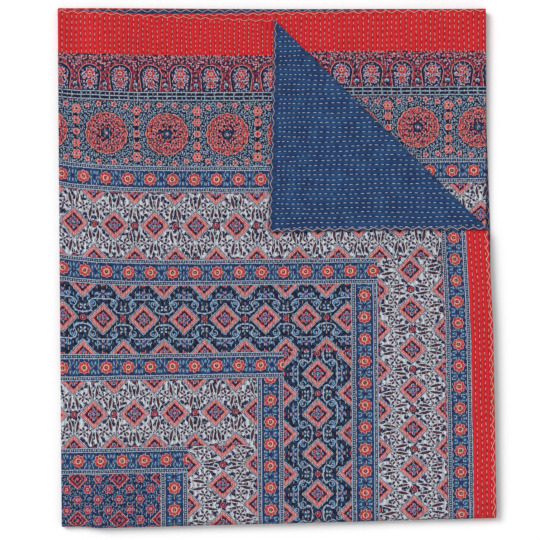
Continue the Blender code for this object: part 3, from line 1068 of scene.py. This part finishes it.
# A stitch is a small grain: two tips sunk in the cloth and two four-sided sections between them. Each row
# is how far along it a point lies, how far across and how far up.
section = ((-1, 0.1), (0, 1), (1, 0.1), (0, -1))
stitchPoints = np.array(
    [(-0.5, 0, -1)]
    + [(along, across, up) for along in (-0.34, 0.34) for across, up in section]
    + [(0.5, 0, -1)]
)
stitchFaces = [(0, 1 + (k + 1) % 4, 1 + k) for k in range(4)]
stitchFaces += [(1 + k, 1 + (k + 1) % 4, 5 + (k + 1) % 4, 5 + k) for k in range(4)]
stitchFaces += [(9, 5 + k, 5 + (k + 1) % 4) for k in range(4)]


def stitchPlaces(side, random):
    # the middles and lengths of all the running stitches on one side
    pitch, uneven = sewing["stitchPitch"], sewing["uneven"]
    first = math.ceil((flatLeft + sewing["rowFromEdge"]) / rows["pitch"])
    last = math.floor((flatRight - sewing["rowFromEdge"]) / rows["pitch"])
    rowX = np.arange(first, last + 1) * rows["pitch"]
    count = math.floor((quilt["length"] - 2 * sewing["fromEdge"]) / pitch) - 1
    across, along = np.meshgrid(rowX, np.arange(count), indexing="ij")
    starts = random.uniform(0, 0.5, (len(rowX), 1)) + (0.5 if side > 0 else 0.0)
    strays = random.normal(0, sewing["strays"], across.shape)
    middles = flatTop - sewing["fromEdge"] - (along + starts + strays) * pitch
    longs = sewing["stitchLong"] * (1 + random.uniform(-uneven, uneven, across.shape))
    return across.ravel(), middles.ravel(), longs.ravel()


def meshObject(name, points, faces, material):
    mesh = bpy.data.meshes.new(name)
    mesh.from_pydata(points.tolist(), [], faces)
    return addPiece(name, mesh, material)


def makeStitches(name, side, shows, material):
    random = np.random.default_rng(sewing["seed"])
    rowX, middleY, long = stitchPlaces(side, random)
    slant = random.normal(0, sewing["slants"], rowX.shape)
    shown = shows(onRow(rowX, middleY), middleY, side)
    rowX, middleY, long, slant = (values[shown, None] for values in (rowX, middleY, long, slant))
    along, across, up = stitchPoints.T
    y = middleY + along * long
    x = onRow(rowX + 0 * y, y) + across * sewing["stitchWide"] / 2 + slant * along * long
    height = np.where(up > 0, up * sewing["stitchHigh"], up * sewing["sunk"])
    z = side * (halfThick - rows["depth"] + height + 0 * y)
    points = foldedPlace(x.ravel(), y.ravel(), z.ravel())
    turned = [face[::side] for face in stitchFaces]
    faces = [tuple(10 * k + corner for corner in face) for k in range(len(x)) for face in turned]
    print(name, "-", len(x), "stitches")
    stitches = meshObject(name, points, faces, material)
    markPlaces(stitches.data, x.ravel(), y.ravel())
    return stitches


def zigzagPath():
    # flat places once round the quilt, in and out of its edge by turns
    corners = np.array(
        [(flatLeft, flatBottom), (flatRight, flatBottom), (flatRight, flatTop), (flatLeft, flatTop)]
    )
    path = []
    for k in range(4):
        ahead = corners[(k + 1) % 4] - corners[k]
        long = np.linalg.norm(ahead)
        ahead = ahead / long
        inward = np.array([-ahead[1], ahead[0]])
        run = long - 2 * cornerRound
        turns = 2 * round(run / sewing["zigzagStep"] / 2)
        for j in range(turns + 1):
            deep = sewing["zigzagInset"] + sewing["zigzagDeep"] * (j % 2)
            path.append(corners[k] + (cornerRound + run * j / turns) * ahead + deep * inward)
    return np.array(path)


def makeEdgeThread(name, side, material):
    turns = zigzagPath()
    nextTurns = np.roll(turns, -1, axis=0)
    path = np.concatenate(
        [turns + (nextTurns - turns) * share for share in (0.0, 0.12, 0.5, 0.88)], axis=1
    ).reshape(-1, 2)
    ahead = np.roll(path, -1, axis=0) - np.roll(path, 1, axis=0)
    ahead = ahead / np.linalg.norm(ahead, axis=1)[:, None]
    angles = np.linspace(0, 2 * math.pi, sewing["zigzagSides"], endpoint=False)
    radius, sides, count = sewing["zigzagRadius"], sewing["zigzagSides"], len(path)
    x = path[:, :1] - radius * ahead[:, 1:] * np.cos(angles)
    y = path[:, 1:] + radius * ahead[:, :1] * np.cos(angles)
    middle = side * (halfThick - drawnIn(path[:, :1], path[:, 1:]) + 0.5 * radius)
    z = middle + radius * np.sin(angles)
    points = foldedPlace(x.ravel(), y.ravel(), z.ravel())
    faces = [
        tuple(sides * (i % count) + j % sides for i, j in ((k, m), (k, m + 1), (k + 1, m + 1), (k + 1, m)))
        for k in range(count)
        for m in range(sides)
    ]
    return meshObject(name, points, faces, material)


def makeQuilt():
    leftThird = (flatLeft, leftHingeX - halfTurn)
    rightThirdOpen = (rightHingeX + halfTurn, inRightThird(hidden["openFrom"]))
    turnedBack = (flatLeft, flatLeft + quilt["turnedTop"])
    face = makeCloth("printedFace", -1, (leftThird, rightThirdOpen), makePrintedCotton())
    back = makeCloth("indigoBacking", 1, (turnedBack,), makeIndigoCotton())
    print("cloths folded:", len(face.data.polygons), "and", len(back.data.polygons), "faces")
    creamThread = makeThread("creamThread", *cottonThread["cream"])
    blueThread = makeThread("washedBlueThread", *cottonThread["washedBlue"])
    printedThread = makeThread("printedThread", *cottonThread["rubbed"], cottonThread["bare"])
    sewn = [
        makeStitches("stitchesOnPrint", -1, showsAbove, printedThread),
        makeStitches("stitchesBelow", -1, showsBelow, printedThread),
        makeStitches("stitchesOnBacking", 1, showsAbove, blueThread),
        makeEdgeThread("edgeThreadOnPrint", -1, creamThread),
        makeEdgeThread("edgeThreadOnBacking", 1, creamThread),
    ]
    return face, back, sewn


def boxOf(pieces):
    corners = np.array([vert.co for piece in pieces for vert in piece.data.vertices])
    return corners.min(axis=0), corners.max(axis=0)


def settleInBox(cloths, pieces, box):
    # moves the pieces together, so that the cloths come to the middle of the box and all stand on its floor
    low, high = boxOf(cloths)
    boxLow, boxHigh = np.array(box[0]), np.array(box[1])
    move = (boxLow + boxHigh - low - high) / 2
    move[2] = boxLow[2] - boxOf(pieces)[0][2]
    for piece in pieces:
        piece.data.transform(Matrix.Translation(move))
        piece.data.update()


face, back, sewn = makeQuilt()
settleInBox((face, back), (face, back, *sewn), cadBox)
for piece in (face, back, *sewn):
    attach(piece, "root")
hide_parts("printed_face")
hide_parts("blue_backing")
print("quilt dressed")

# A white table top in a bright white room, with one soft light from the upper left and the camera straight
# above
studio = {
    "floorSize": 12.0,
    "floorTone": 0.95,
    "floorRoughness": 0.9,
    "roomStrength": 0.62,
    "lampStrength": 2.1,
    "lampSpread": 30,  # degrees
    "lampFrom": (-1.0, 0.9, 1.35),
    "lens": 120,
    "sensor": 36,
    "framed": 1.206,  # metres across the picture
    "cameraX": -0.015,
    "cameraY": -0.0045,
}


def makeStudio():
    half = studio["floorSize"] / 2
    corners = np.array([(-half, -half, 0), (half, -half, 0), (half, half, 0), (-half, half, 0)])
    white, shader = newMaterial("whitePaint")
    shader.inputs["Base Color"].default_value = (*[studio["floorTone"]] * 3, 1)
    shader.inputs["Roughness"].default_value = studio["floorRoughness"]
    meshObject("floor", corners, [(0, 1, 2, 3)], white)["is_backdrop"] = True
    world = bpy.data.worlds.new("studio")
    world.use_nodes = True
    room = world.node_tree.nodes["Background"]
    room.inputs["Color"].default_value = (1, 1, 1, 1)
    room.inputs["Strength"].default_value = studio["roomStrength"]
    bpy.context.scene.world = world
    lamp = bpy.data.lights.new("softLight", "SUN")
    lamp.energy = studio["lampStrength"]
    lamp.angle = math.radians(studio["lampSpread"])
    softLight = addObject("softLight", lamp, studio["lampFrom"])
    softLight.rotation_euler = (-Vector(studio["lampFrom"])).to_track_quat("-Z", "Y").to_euler()
    camera = bpy.data.cameras.new("camera")
    camera.lens = studio["lens"]
    camera.sensor_width = studio["sensor"]
    height = studio["framed"] * studio["lens"] / studio["sensor"]
    place = (studio["cameraX"], studio["cameraY"], height)
    bpy.context.scene.camera = addObject("camera", camera, place)
    bpy.context.scene.view_settings.view_transform = "Standard"
    print("studio set")


makeStudio()
bpy.context.view_layer.update()
boxes = {"cad": cadBox, "visual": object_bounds()}
boxes = {name: [[float(value) for value in corner] for corner in box] for name, box in boxes.items()}
